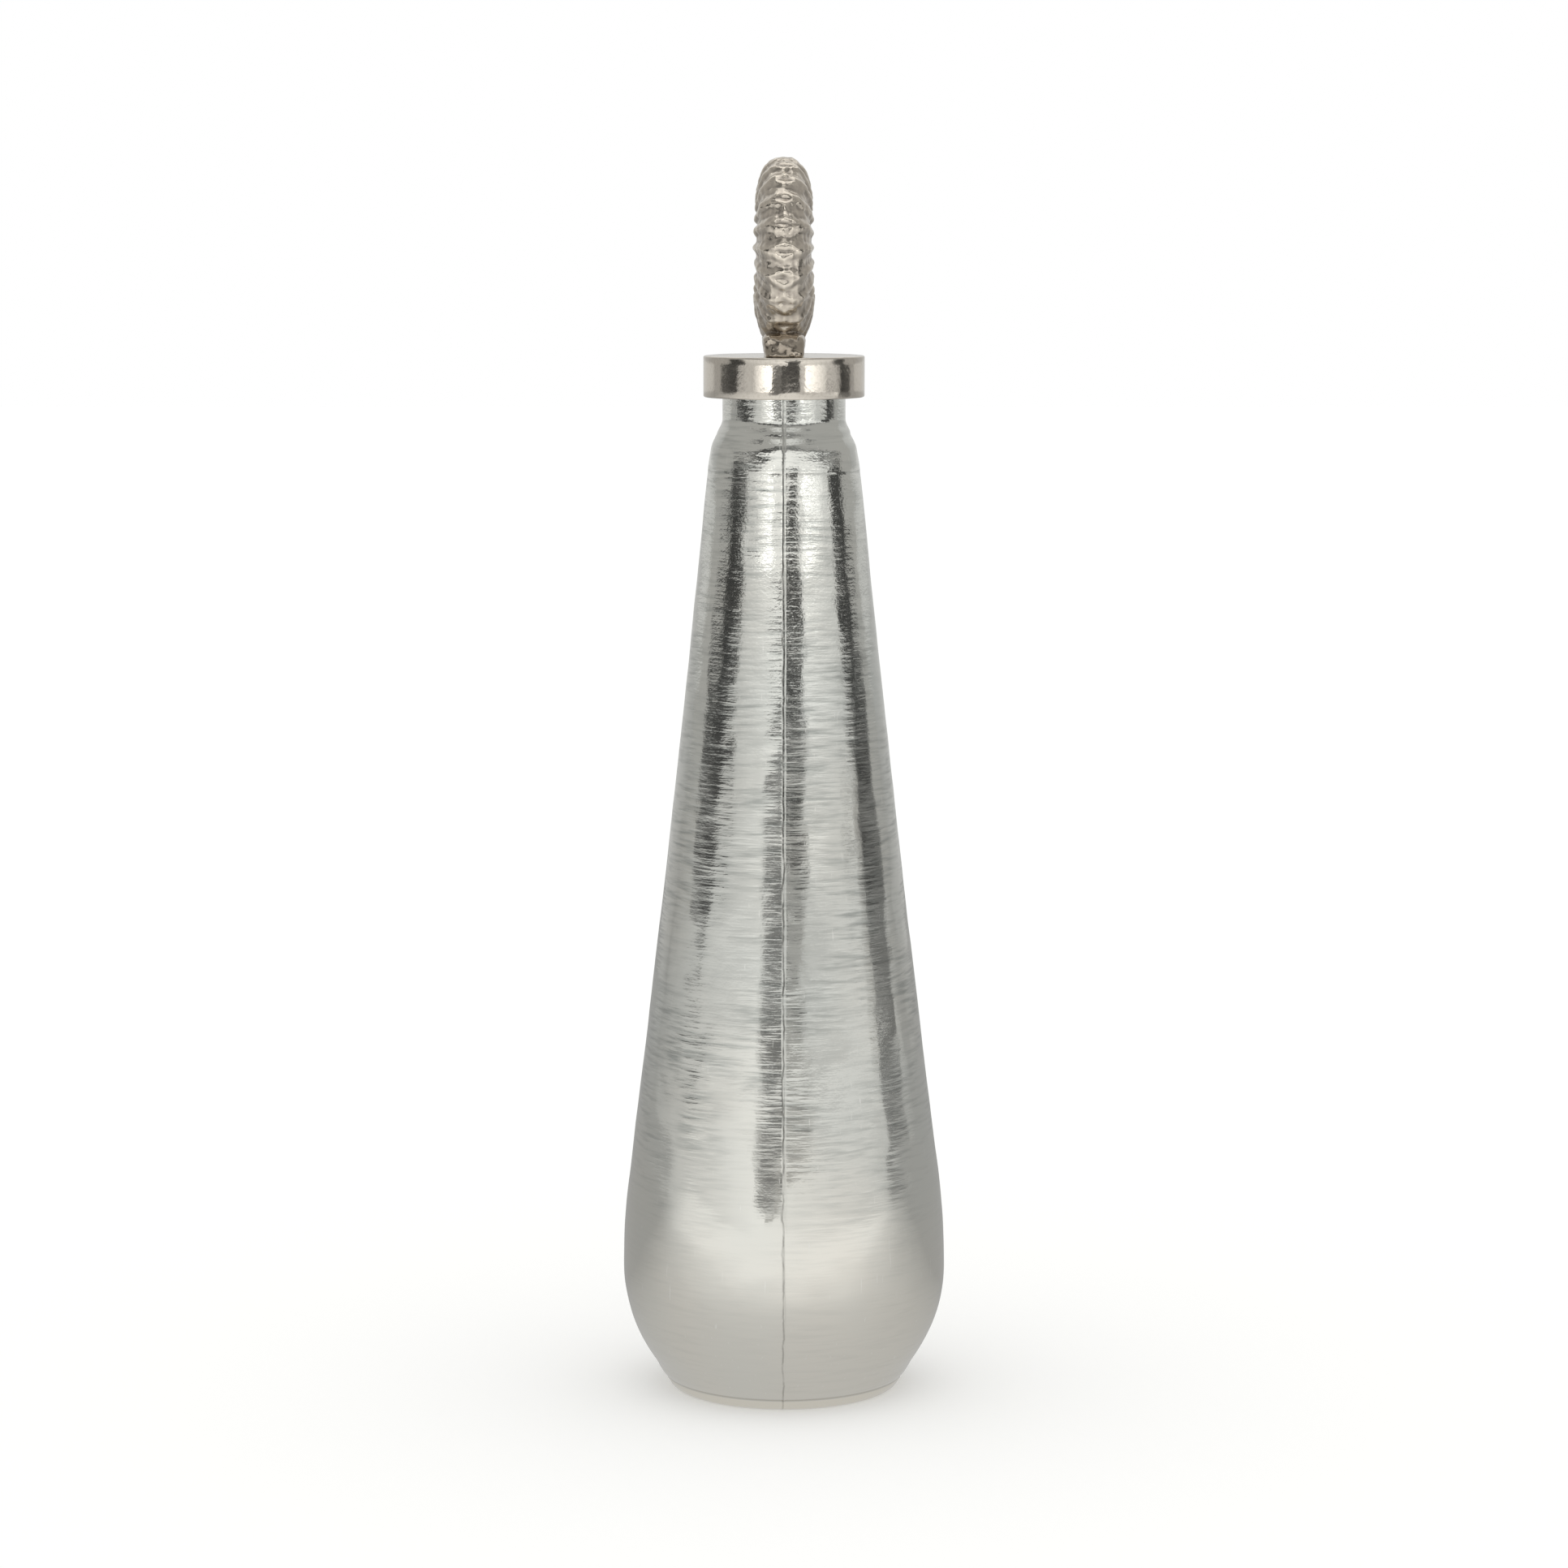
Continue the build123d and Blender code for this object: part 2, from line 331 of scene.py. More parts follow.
def glass_bottle():
    """Blown glass: thick base, ridges of the mould and walls that are never quite true."""
    glass = lathe("silvered_bottle", bottle_outline(), 96)
    raise_seams(glass)
    blown = glass.vertex_groups.new(name="blown")
    low, high = 8 * MM, RIM - 22 * MM  # true to the mould below and above these
    body = [v.index for v in glass.data.vertices if faces_out(v) and low < v.co.z < high]
    blown.add(body, 1.0, "REPLACE")
    modify(glass, "SUBSURF", levels=1, render_levels=1)
    wander(glass, "slow waves", 28 * MM, 0.5 * MM, INWARDS, "blown")
    wander(glass, "mould marks", 9 * MM, 0.12 * MM, INWARDS, "blown")
    smooth(glass)
    return glass


# ---------------------------------------------------------------- the lid

LID_LOW, LID_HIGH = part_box("lid_cap")
LID_WALL = 2.5 * MM
LID_TOP = 3.5 * MM
LID_EDGE = 0.7 * MM
SCREW_HOLE = 2.75 * MM


def lid_cap():
    """Plated cap: a flat top over a skirt, with its edges eased by polishing."""
    radius, low, high = LID_HIGH.x, LID_LOW.z, LID_HIGH.z
    inside = radius - LID_WALL
    under = high - LID_TOP
    ease = LID_EDGE
    outline = (
        [(SCREW_HOLE, under), (SCREW_HOLE, high)]
        + line((SCREW_HOLE, high), (radius - ease, high), 7)
        + arc((radius - ease, high - ease), ease, 90, -90, 4)
        + line((radius, high - ease), (radius, low + ease), 6)
        + arc((radius - ease, low + ease), ease, 0, -90, 4)
        + arc((inside + ease * 0.6, low + ease * 0.6), ease * 0.6, -90, -90, 3)
        + line((inside, low + ease), (inside, under - 0.5 * MM), 3)
        + [(inside, under - 0.5 * MM), (inside - 0.5 * MM, under)]
        + line((inside - 0.5 * MM, under), (SCREW_HOLE, under), 5)
    )
    lid = lathe("plated_lid", outline, 128, closed=True)
    wander(lid, "cast lid", 11 * MM, 0.1 * MM, INWARDS)
    smooth(lid, 40)
    return lid


# ---------------------------------------------------------------- the finial

SHELL_LOW, SHELL_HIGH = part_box("finial")
COIL_RADIUS = 37.3 * MM  # at the coil's lowest point
COIL_GROWTH = 1.5  # per turn
THICK_GROWTH = 1.3  # per turn
COIL_CENTRE = Vector((0, 0, LID_HIGH.z + 0.8 * MM + COIL_RADIUS))
COIL_THICK = 9.4 * MM  # half of it, between the ribs, at the front
COIL_PINCH = 0.1  # how much narrower its lowest part is
MOUTH_TURN = 0.1  # the open end, past the lowest point
RIBS = 22  # per turn on the flank; each splits in two at the rim
RIB_STEPS = 12
RIB_HEIGHT = 0.115  # as a share of the way out from the middle of the section
RIB_SPLIT = 0.2  # place between rim (0) and navel (1) where a rib splits in two
RIB_WIDTH = 0.34  # half of it, as a share of the spacing
RIB_WIDTH_AT_RIM = 0.28
SECTION_MIDDLE = 0.68  # as a share of the coil's radius
WHORLS = 3.4
HUB = 5.6 * MM
HUB_FLATNESS = 0.78
FOOT_WIDTH = 13.2 * MM
FOOT_LENGTH = 46.0 * MM
FOOT_HEIGHT = 8.0 * MM
FOOT_FLARE = (1.13, 0.9, 1)  # its top against its bottom
FOOT_ROUNDING = 2.8 * MM
CAST_GRAIN = 0.42 * MM  # size of the cells that the casting is rebuilt from


def section_places(radius, thick):
    """Half of the coil's section from rim to navel, as (across, out from the coil's axis)."""
    rim, shoulder = radius * 0.955, radius * 0.5
    curve = [
        (thick * cos(radians(turn)) ** 0.8, shoulder + (rim - shoulder) * sin(radians(turn)))
        for turn in (89.9, 78, 66, 54, 42, 30, 17, 4)
    ]
    return curve + [(thick * 0.9, radius * 0.455), (thick * 0.66, radius * 0.42), (0, radius * 0.36)]


def rib_lift(step, place):
    """Height of the rib, 0 to 1, at a step along the coil and a place from rim (0) to navel (1)."""
    split = max(0.0, 1 - place / RIB_SPLIT) * RIB_STEPS / 4
    middle = RIB_STEPS / 2
    width = RIB_STEPS * (RIB_WIDTH_AT_RIM if place < 0.15 else RIB_WIDTH)
    away = min(abs(step - middle - split), abs(step - middle + split)) / width
    fade = min(1.0, (1 - place) / 0.25)
    return cos(pi / 2 * min(1.0, away)) ** 1.2 * fade


def place_round(corner, count):
    """From rim (0) to navel (1) for a vertex of the coil's section."""
    return min(corner, count - corner) / (count / 2)


def rib_segment():
    """One rib of the shell: its section extruded step by step about the coil's axis, then swollen."""
    turn = -MOUTH_TURN
    radius = COIL_RADIUS * COIL_GROWTH**-turn
    half = section_places(radius, COIL_THICK * THICK_GROWTH ** (0.25 - turn))
    ring = half + [(-across, out) for across, out in half[-2:0:-1]]
    outwards = Vector((0, -sin(2 * pi * turn), -cos(2 * pi * turn)))
    clear()
    bpy.ops.mesh.primitive_circle_add(vertices=len(ring), radius=radius, location=COIL_CENTRE)
    rib = bpy.context.object
    rib.name = "cast_shell"
    for vertex, (across, out) in zip(rib.data.vertices, ring):
        vertex.co = Vector((across, 0, 0)) + outwards * out
    step_angle = 2 * pi / (RIBS * RIB_STEPS)
    shrink = COIL_GROWTH ** (-1 / (RIBS * RIB_STEPS))
    narrow = THICK_GROWTH ** (-1 / (RIBS * RIB_STEPS))
    edit(rib)
    bpy.ops.mesh.select_all(action="SELECT")
    for _ in range(RIB_STEPS):
        bpy.ops.mesh.extrude_region_move()
        bpy.ops.transform.rotate(value=step_angle, orient_axis="X", center_override=COIL_CENTRE)
        bpy.ops.transform.resize(value=(narrow, shrink, shrink), center_override=COIL_CENTRE)
    clear()
    for index, vertex in enumerate(rib.data.vertices):
        step, corner = divmod(index, len(ring))
        out = shrink**step * radius * SECTION_MIDDLE
        angle = 2 * pi * turn + step * step_angle
        middle = Vector((0, -sin(angle), -cos(angle))) * out
        lift = rib_lift(step, place_round(corner, len(ring)))
        vertex.co = middle + (vertex.co - middle) * (1 + RIB_HEIGHT * lift)
    return rib


def coil():
    """The rib repeated round the coil's axis, each copy turned on and a little smaller."""
    rib = rib_segment()
    clear()
    bpy.ops.object.empty_add(location=COIL_CENTRE, rotation=(-2 * pi / RIBS, 0, 0))
    step = bpy.context.object
    ratio = COIL_GROWTH ** (-1 / RIBS)
    step.scale = (THICK_GROWTH ** (-1 / RIBS), ratio, ratio)
    bpy.context.view_layer.update()
    modify(
        rib,
        "ARRAY",
        count=round(WHORLS * RIBS),
        use_relative_offset=False,
        use_object_offset=True,
        offset_object=step,
        use_merge_vertices=True,
        merge_threshold=0.02 * MM,
    )
    bpy.data.objects.remove(step)
    settle(rib)
    edit(rib)
    bpy.ops.mesh.select_all(action="SELECT")
    bpy.ops.mesh.fill_holes(sides=0)
    bpy.ops.mesh.select_all(action="SELECT")
    bpy.ops.mesh.normals_make_consistent(inside=False)
    clear()
    mouth = max(rib.data.polygons, key=lambda face: face.area).index
    edit(rib)
    pick(rib, "polygons", lambda face: face.index == mouth)
    bpy.ops.mesh.extrude_region_move()
    bpy.ops.transform.rotate(value=-0.035, orient_axis="X", center_override=COIL_CENTRE)
    bpy.ops.mesh.inset(thickness=2.6 * MM, depth=-1.8 * MM)
    bpy.ops.mesh.inset(thickness=1.6 * MM, depth=-1.4 * MM)
    clear()
    for vertex in rib.data.vertices:
        below = min(1.0, max(0.0, (COIL_CENTRE.z - vertex.co.z) / COIL_RADIUS))
        vertex.co.x *= 1 - COIL_PINCH * below
    return rib


def foot():
    """Rough pad that the casting stands on: wider and shorter at the top, its corners worn round."""
    clear()
    low = SHELL_LOW.z
    bpy.ops.mesh.primitive_cube_add(
        size=1,
        location=(0, 0, low + FOOT_HEIGHT / 2),
        scale=(FOOT_WIDTH, FOOT_LENGTH, FOOT_HEIGHT),
    )
    pad = bpy.context.object
    settle(pad)
    edit(pad)
    pick(pad, "polygons", lambda face: face.normal.z > 0.5)
    bpy.ops.transform.resize(value=FOOT_FLARE, center_override=(0, 0, low))
    corners = pad.data.vertices
    pick(pad, "edges", lambda edge: max(corners[i].co.z for i in edge.vertices) > low + 1 * MM)
    bpy.ops.mesh.bevel(offset=FOOT_ROUNDING, segments=4, affect="EDGES")
    bpy.ops.mesh.select_all(action="SELECT")
    bpy.ops.mesh.subdivide(number_cuts=3)
    clear()
    wander(pad, "foot lumps", 6 * MM, 1.3 * MM, EITHER_WAY)
    return pad


def hub():
    """Small boss that closes the middle of the coil."""
    clear()
    bpy.ops.mesh.primitive_uv_sphere_add(segments=20, ring_count=12, radius=HUB, location=COIL_CENTRE)
    boss = bpy.context.object
    boss.scale = (HUB_FLATNESS, 1, 1)
    settle(boss)
    return boss


def join(parts):
    """Make several overlapping parts one object."""
    clear()
    for part in parts:
        part.select_set(True)
    bpy.context.view_layer.objects.active = parts[0]
    bpy.ops.object.join()
    return parts[0]


def pit(piece, name, grain, depth):
    """Dent the surface with shallow hollows that meet in edges, as sand leaves them."""
    hollows = bpy.data.textures.new(name, "VORONOI")
    hollows.noise_scale = grain
    modify(
        piece,
        "DISPLACE",
        texture=hollows,
        texture_coords="LOCAL",
        strength=depth,
        mid_level=EITHER_WAY,
    )


def cast_finial():
    """The shell, its boss and its foot as one casting, with the lumps and dents of a rough mould."""
    shell = join([coil(), hub(), foot()])
    modify(shell, "REMESH", mode="VOXEL", voxel_size=CAST_GRAIN)
    wander(shell, "cast lumps", 4.2 * MM, 0.85 * MM, EITHER_WAY)
    pit(shell, "sand pits", 2.8 * MM, 0.25 * MM)
    smooth(shell)
    for vertex in shell.data.vertices:
        vertex.co.z = min(max(vertex.co.z, SHELL_LOW.z), SHELL_HIGH.z)
        vertex.co.y = min(max(vertex.co.y, SHELL_LOW.y), SHELL_HIGH.y)
    return shell


# ---------------------------------------------------------------- the stopper and its seals

PLUG_LOW, PLUG_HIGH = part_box("stopper_core")
GASKET_LOW, GASKET_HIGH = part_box("lid_gasket")
GROOVE_DEPTH = 1.7 * MM
GROOVE_HALF = 1.35 * MM
GROOVE_EASE = 0.25 * MM
PLUG_EDGE = 1.0 * MM
PLUG_TOP_EASE = 0.3 * MM
SOCKET_EASE = 0.4 * MM
SOCKET_RADIUS = 6.0 * MM
SOCKET_TOP = PLUG_LOW.z + 8.2 * MM
RING_NODES = ("seal_ring_1", "seal_ring_2", "seal_ring_3")
RING_FLASH = 0.12 * MM
GASKET_BORE = 17.4 * MM
GASKET_EASE = 0.3 * MM


def stopper_plug():
    """Turned plastic plug: a groove for each seal ring, eased edges, and a socket for the screw."""
    radius, low, high = PLUG_HIGH.x, PLUG_LOW.z, PLUG_HIGH.z
    heights = sorted((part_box(node)[0].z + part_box(node)[1].z) / 2 for node in RING_NODES)
    outline = [(0, SOCKET_TOP), (SCREW_HOLE, SOCKET_TOP), (SOCKET_RADIUS, SOCKET_TOP)]
    outline += [(SOCKET_RADIUS, low + SOCKET_EASE), (SOCKET_RADIUS + SOCKET_EASE, low)]
    outline += line((SOCKET_RADIUS + SOCKET_EASE, low), (radius - PLUG_EDGE, low), 4)
    outline += arc((radius - PLUG_EDGE, low + PLUG_EDGE), PLUG_EDGE, -90, 90, 4)
    bottom, edge = radius - GROOVE_DEPTH, radius - GROOVE_EASE
    for height in heights:
        start, end = height - GROOVE_HALF, height + GROOVE_HALF
        outline += [(radius, start - GROOVE_EASE), (edge, start), (bottom, start)]
        outline += [(bottom, end), (edge, end), (radius, end + GROOVE_EASE)]
    outline += [(radius, high - PLUG_TOP_EASE), (radius - PLUG_TOP_EASE, high)]
    outline += line((radius - PLUG_TOP_EASE, high), (0, high), 4) + [(0, high)]
    plug = lathe("stopper_plug", outline, 96)
    smooth(plug, 35)
    return plug


def seal_ring(node):
    """Moulded silicone ring, with the fine flash its mould leaves round the outside."""
    low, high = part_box(node)
    wire = (high.z - low.z) / 2
    centre = (high.x - wire, (low.z + high.z) / 2)
    outer = centre[0] + wire
    outline = arc(centre, wire - RING_FLASH, 18, 324, 18)
    outline += [
        (outer - RING_FLASH * 0.5, centre[1] - RING_FLASH),
        (outer, centre[1]),
        (outer - RING_FLASH * 0.5, centre[1] + RING_FLASH),
    ]
    ring = lathe("silicone_" + node, outline, 96, closed=True)
    smooth(ring, 50)
    return ring


def gasket():
    """Flat washer of silicone, with its cut edges a little soft."""
    inner, outer, low, high = GASKET_BORE, GASKET_HIGH.x, GASKET_LOW.z, GASKET_HIGH.z
    ease = GASKET_EASE
    outline = (
        arc((outer - ease, high - ease), ease, 90, -90, 3)
        + arc((outer - ease, low + ease), ease, 0, -90, 3)
        + arc((inner + ease, low + ease), ease, -90, -90, 3)
        + arc((inner + ease, high - ease), ease, 180, -90, 3)
    )
    flat = lathe("silicone_gasket", outline, 96, closed=True)
    smooth(flat, 50)
    return flat


# ---------------------------------------------------------------- materials

# Colours, as sRGB
COOL_SILVER = "#E1E5E2"
WARM_SILVER = "#EAE7DF"
# painted shade in the hollows of the ripples
RIPPLE_SHADE = "#B9BCB8"
# painted highlight on the rim of the base
RIM_PAINTED_HIGHLIGHT = "#F7F2E6"
# painted shade in the groove above the base
GROOVE_PAINTED_SHADE = "#8B8880"
# painted shade along the raised seam
SEAM_PAINTED_SHADE = "#4E4C47"
SCUFF = "#F6F6F2"
NICKEL = "#D6CFC5"
PALE_NICKEL = "#E4DED4"
# painted shade in the hollows of the pebbling
PEBBLE_PAINTED_SHADE = "#A39B90"
CAST_FLANK = "#BDB5AB"
# painted highlight on the proud ribs
CAST_RIB_HIGHLIGHT = "#EDE4D6"
# painted shade in the crevices
CAST_CREVICE_SHADE = "#45403A"
# painted shade round the foot of the casting
BROWN_FOOT_SHADE = "#8C7F6F"
MILKY = "#DEDCD4"
PALE_MILKY = "#EAE8E2"
SILICONE = "#D3D4CF"
SILICONE_DUST = "#E6E6E1"
ZINC = "#A9AEB2"
PALE_ZINC = "#C4C7C8"
PALE_FLOOR = "#F0F0EE"

# Heights between which a finish of the glass comes or goes
SMOOTH_BELLY = (45 * MM, 130 * MM)
FINE_GRAIN = (200 * MM, 310 * MM)
WARM_BELLY = (20 * MM, 120 * MM)
# where the painted highlight on the base rim fades out
RIM_HIGHLIGHT_HEIGHTS = (3.3 * MM, 3.7 * MM)
BASE_LINE = 4.1 * MM
# where the painted shade along the seam fades, low and high
SEAM_SHADE_FADE_LOW = (50 * MM, 110 * MM)
SEAM_SHADE_FADE_HIGH = (290 * MM, 330 * MM)
# Half widths between which a dark line fades
BASE_LINE_HALF = (0.2 * MM, 0.6 * MM)
SEAM_LINE_HALF = (0.18 * MM, 0.42 * MM)
# Brown painted shade on the casting near the lid, from full to none
FOOT_SHADE_HEIGHTS = (366 * MM, 388 * MM)
# How deep each relief would be if it were cut in the surface
WAVE_DEPTH = 0.3 * MM
RIPPLE_DEPTH = 0.13 * MM
GRAIN_DEPTH = 0.06 * MM
PEBBLE_DEPTH = 0.024 * MM
GRIT_DEPTH = 0.04 * MM
TURNED_DEPTH = 0.03 * MM
SKIN_DEPTH = 0.02 * MM


def tint(code):
    """Linear colour of an sRGB hex code."""
    shares = [int(code[place : place + 2], 16) / 255 for place in (1, 3, 5)]
    return (*[s / 12.92 if s <= 0.04045 else ((s + 0.055) / 1.055) ** 2.4 for s in shares], 1.0)


def add(tree, kind, inputs=None, **settings):
    """Add one node, with its settings, and its inputs either set or linked from other sockets."""
    node = tree.nodes.new(kind)
    for key, value in settings.items():
        setattr(node, key, value)
    for socket, value in (inputs or {}).items():
        if isinstance(value, bpy.types.NodeSocket):
            tree.links.new(value, node.inputs[socket])
        else:
            node.inputs[socket].default_value = value
    return node


def new_material(name):
    """An empty node material and its tree."""
    material = bpy.data.materials.new(name)
    material.use_nodes = True
    material.node_tree.nodes.clear()
    return material, material.node_tree


def per_mm(*sizes):
    """Mapping scale that makes one unit of a pattern this many millimetres along x, y and z."""
    return tuple(1000.0 / size for size in sizes)


def silvered_glass():
    """Glass silvered on its inside: bright satin silver seen through green-grey glass.

    Chill marks of the mould lie across the body in short flat ripples about 1.5 mm apart, close
    grain breaks up every dark edge, and both fade out on the smooth lower belly.
    """
    material, tree = new_material("silvered_blown_glass")
    place = add(tree, "ShaderNodeTexCoord").outputs["Object"]
    high = add(tree, "ShaderNodeSeparateXYZ", {0: place}).outputs["Z"]
    body = add(
        tree,
        "ShaderNodeMapRange",
        {0: high, 1: SMOOTH_BELLY[0], 2: SMOOTH_BELLY[1], 3: 0.12, 4: 1.0},
        interpolation_type="SMOOTHSTEP",
    ).outputs[0]
    upper = add(
        tree,
        "ShaderNodeMapRange",
        {0: high, 1: FINE_GRAIN[0], 2: FINE_GRAIN[1], 3: 0.35, 4: 1.0},
        interpolation_type="SMOOTHSTEP",
    ).outputs[0]
    # Ripples: 16 mm long, 1.5 mm apart, in patches 22 mm across and 34 mm high
    flat = add(tree, "ShaderNodeMapping", {0: place, 3: per_mm(16, 16, 1.5)}).outputs[0]
    ripple = add(tree, "ShaderNodeTexNoise", {0: flat, 2: 1.0, 3: 2.0, 4: 0.55}).outputs[0]
    patch_place = add(tree, "ShaderNodeMapping", {0: place, 3: per_mm(22, 22, 34)}).outputs[0]
    patch = add(tree, "ShaderNodeTexNoise", {0: patch_place, 2: 1.0, 3: 1.0}).outputs[0]
    patchy = add(tree, "ShaderNodeMapRange", {0: patch, 1: 0.38, 2: 0.62, 3: 0.25, 4: 1.0}).outputs[0]
    ripple_share = add(tree, "ShaderNodeMath", {0: body, 1: patchy}, operation="MULTIPLY").outputs[0]
    # Waves: 9 mm across and 14 mm high, which make the reflections' edges wander
    wave_place = add(tree, "ShaderNodeMapping", {0: place, 3: per_mm(9, 9, 14)}).outputs[0]
    wave = add(tree, "ShaderNodeTexNoise", {0: wave_place, 2: 1.0, 3: 1.0}).outputs[0]
    waved = add(tree, "ShaderNodeBump", {0: body, 1: WAVE_DEPTH, 3: wave}).outputs[0]
    rippled = add(tree, "ShaderNodeBump", {0: ripple_share, 1: RIPPLE_DEPTH, 3: ripple, 4: waved})
    # Grain: some 1.2 mm, drawn coarser than it is so that it shows, and stronger towards the shoulder
    fine = add(tree, "ShaderNodeMapping", {0: place, 3: per_mm(1.3, 1.3, 1.0)}).outputs[0]
    grain = add(tree, "ShaderNodeTexNoise", {0: fine, 2: 1.0, 3: 2.0, 4: 0.6}).outputs[0]
    grain_share = add(tree, "ShaderNodeMath", {0: body, 1: upper}, operation="MULTIPLY").outputs[0]
    grained = add(
        tree,
        "ShaderNodeBump",
        {0: grain_share, 1: GRAIN_DEPTH, 3: grain, 4: rippled.outputs[0]},
    )
    # Scuffs: a few pale marks 10 mm long and 0.9 mm wide, standing nearly upright
    lean = add(
        tree,
        "ShaderNodeMapping",
        {0: place, 2: (0.0, 0.12, 0.1), 3: per_mm(0.9, 0.9, 10)},
    ).outputs[0]
    scratch = add(tree, "ShaderNodeTexNoise", {0: lean, 2: 1.0, 3: 1.0}).outputs[0]
    scuff = add(tree, "ShaderNodeMapRange", {0: scratch, 1: 0.72, 2: 0.8, 3: 0.0, 4: 0.5}).outputs[0]
    # Silver: cool and warm patches 45 mm across and 60 mm high, warm on the belly
    wide = add(tree, "ShaderNodeMapping", {0: place, 3: per_mm(45, 45, 60)}).outputs[0]
    clouds = add(tree, "ShaderNodeTexNoise", {0: wide, 2: 1.0, 3: 2.0}).outputs[0]
    low_warm = add(
        tree,
        "ShaderNodeMapRange",
        {0: high, 1: WARM_BELLY[0], 2: WARM_BELLY[1], 3: 0.45, 4: -0.1},
    ).outputs[0]
    warmth = add(tree, "ShaderNodeMath", {0: clouds, 1: low_warm}, operation="ADD", use_clamp=True)
    silver = add(
        tree,
        "ShaderNodeMix",
        {0: warmth.outputs[0], 6: tint(COOL_SILVER), 7: tint(WARM_SILVER)},
        data_type="RGBA",
    ).outputs[2]
    # Painted shade: the ripples are a little darker in their hollows
    hollows = add(tree, "ShaderNodeMapRange", {0: ripple, 1: 0.3, 2: 0.55, 3: 0.0, 4: 1.0}).outputs[0]
    ripple_shade_share = add(tree, "ShaderNodeMath", {0: 1.0, 1: hollows}, operation="SUBTRACT").outputs[0]
    painted_ripple_shade = add(
        tree, "ShaderNodeMath", {0: ripple_shade_share, 1: ripple_share}, operation="MULTIPLY"
    ).outputs[0]
    shaded = add(
        tree,
        "ShaderNodeMix",
        {0: painted_ripple_shade, 6: silver, 7: tint(RIPPLE_SHADE)},
        data_type="RGBA",
    ).outputs[2]
    # Painted highlight: the rim of the base is made pale, under a thin line of painted shade in the groove
    # 4 mm up
    rim_highlight = add(
        tree,
        "ShaderNodeMapRange",
        {0: high, 1: RIM_HIGHLIGHT_HEIGHTS[0], 2: RIM_HIGHLIGHT_HEIGHTS[1], 3: 0.8, 4: 0.0},
    ).outputs[0]
    rim_lit = add(
        tree,
        "ShaderNodeMix",
        {0: rim_highlight, 6: shaded, 7: tint(RIM_PAINTED_HIGHLIGHT)},
        data_type="RGBA",
    ).outputs[2]
    # Painted shade: a thin dark line along the groove 4 mm up
    line_low = add(tree, "ShaderNodeMath", {0: high, 1: BASE_LINE}, operation="SUBTRACT").outputs[0]
    line_off = add(tree, "ShaderNodeMath", {0: line_low}, operation="ABSOLUTE").outputs[0]
    groove_shade = add(
        tree,
        "ShaderNodeMapRange",
        {0: line_off, 1: BASE_LINE_HALF[0], 2: BASE_LINE_HALF[1], 3: 0.32, 4: 0.0},
    ).outputs[0]
    groove_shaded = add(
        tree,
        "ShaderNodeMix",
        {0: groove_shade, 6: rim_lit, 7: tint(GROOVE_PAINTED_SHADE)},
        data_type="RGBA",
    ).outputs[2]
    # Painted shade along the raised seam: a broken, wandering line 0.4 to 0.8 mm wide, paler on belly and
    # neck
    across = add(tree, "ShaderNodeSeparateXYZ", {0: place}).outputs["X"]
    kink_place = add(tree, "ShaderNodeMapping", {0: place, 3: per_mm(30, 30, 7)}).outputs[0]
    kink = add(tree, "ShaderNodeTexNoise", {0: kink_place, 2: 1.0, 3: 3.0}).outputs[0]
    shift = add(tree, "ShaderNodeMath", {0: kink, 1: 0.0022, 2: -0.0014}, operation="MULTIPLY_ADD")
    off = add(tree, "ShaderNodeMath", {0: across, 1: shift.outputs[0]}, operation="SUBTRACT")
    from_line = add(tree, "ShaderNodeMath", {0: off.outputs[0]}, operation="ABSOLUTE").outputs[0]
    width = add(
        tree,
        "ShaderNodeMapRange",
        {0: from_line, 1: SEAM_LINE_HALF[0], 2: SEAM_LINE_HALF[1], 3: 1.0, 4: 0.0},
    ).outputs[0]
    break_place = add(tree, "ShaderNodeMapping", {0: place, 3: per_mm(30, 30, 5)}).outputs[0]
    breaks = add(tree, "ShaderNodeTexNoise", {0: break_place, 2: 1.0, 3: 2.0}).outputs[0]
    broken = add(tree, "ShaderNodeMapRange", {0: breaks, 1: 0.36, 2: 0.58, 3: 0.25, 4: 0.72}).outputs[0]
    below_neck = add(
        tree,
        "ShaderNodeMapRange",
        {0: high, 1: SEAM_SHADE_FADE_HIGH[0], 2: SEAM_SHADE_FADE_HIGH[1], 3: 1.0, 4: 0.4},
    ).outputs[0]
    off_belly = add(
        tree,
        "ShaderNodeMapRange",
        {0: high, 1: SEAM_SHADE_FADE_LOW[0], 2: SEAM_SHADE_FADE_LOW[1], 3: 0.5, 4: 1.0},
    ).outputs[0]
    held = add(tree, "ShaderNodeMath", {0: below_neck, 1: off_belly}, operation="MULTIPLY").outputs[0]
    seam_shade_share = add(tree, "ShaderNodeMath", {0: broken, 1: held}, operation="MULTIPLY").outputs[0]
    seam_shade = add(tree, "ShaderNodeMath", {0: width, 1: seam_shade_share}, operation="MULTIPLY").outputs[0]
    seam_shaded = add(
        tree,
        "ShaderNodeMix",
        {0: seam_shade, 6: groove_shaded, 7: tint(SEAM_PAINTED_SHADE)},
        data_type="RGBA",
    ).outputs[2]
    scuffed = add(
        tree,
        "ShaderNodeMix",
        {0: scuff, 6: seam_shaded, 7: tint(SCUFF)},
        data_type="RGBA",
    ).outputs[2]
    dull = add(tree, "ShaderNodeMapRange", {0: patch, 1: 0.3, 2: 0.7, 3: 0.07, 4: 0.15}).outputs[0]
    worn = add(tree, "ShaderNodeMath", {0: scuff, 1: 0.25, 2: dull}, operation="MULTIPLY_ADD")
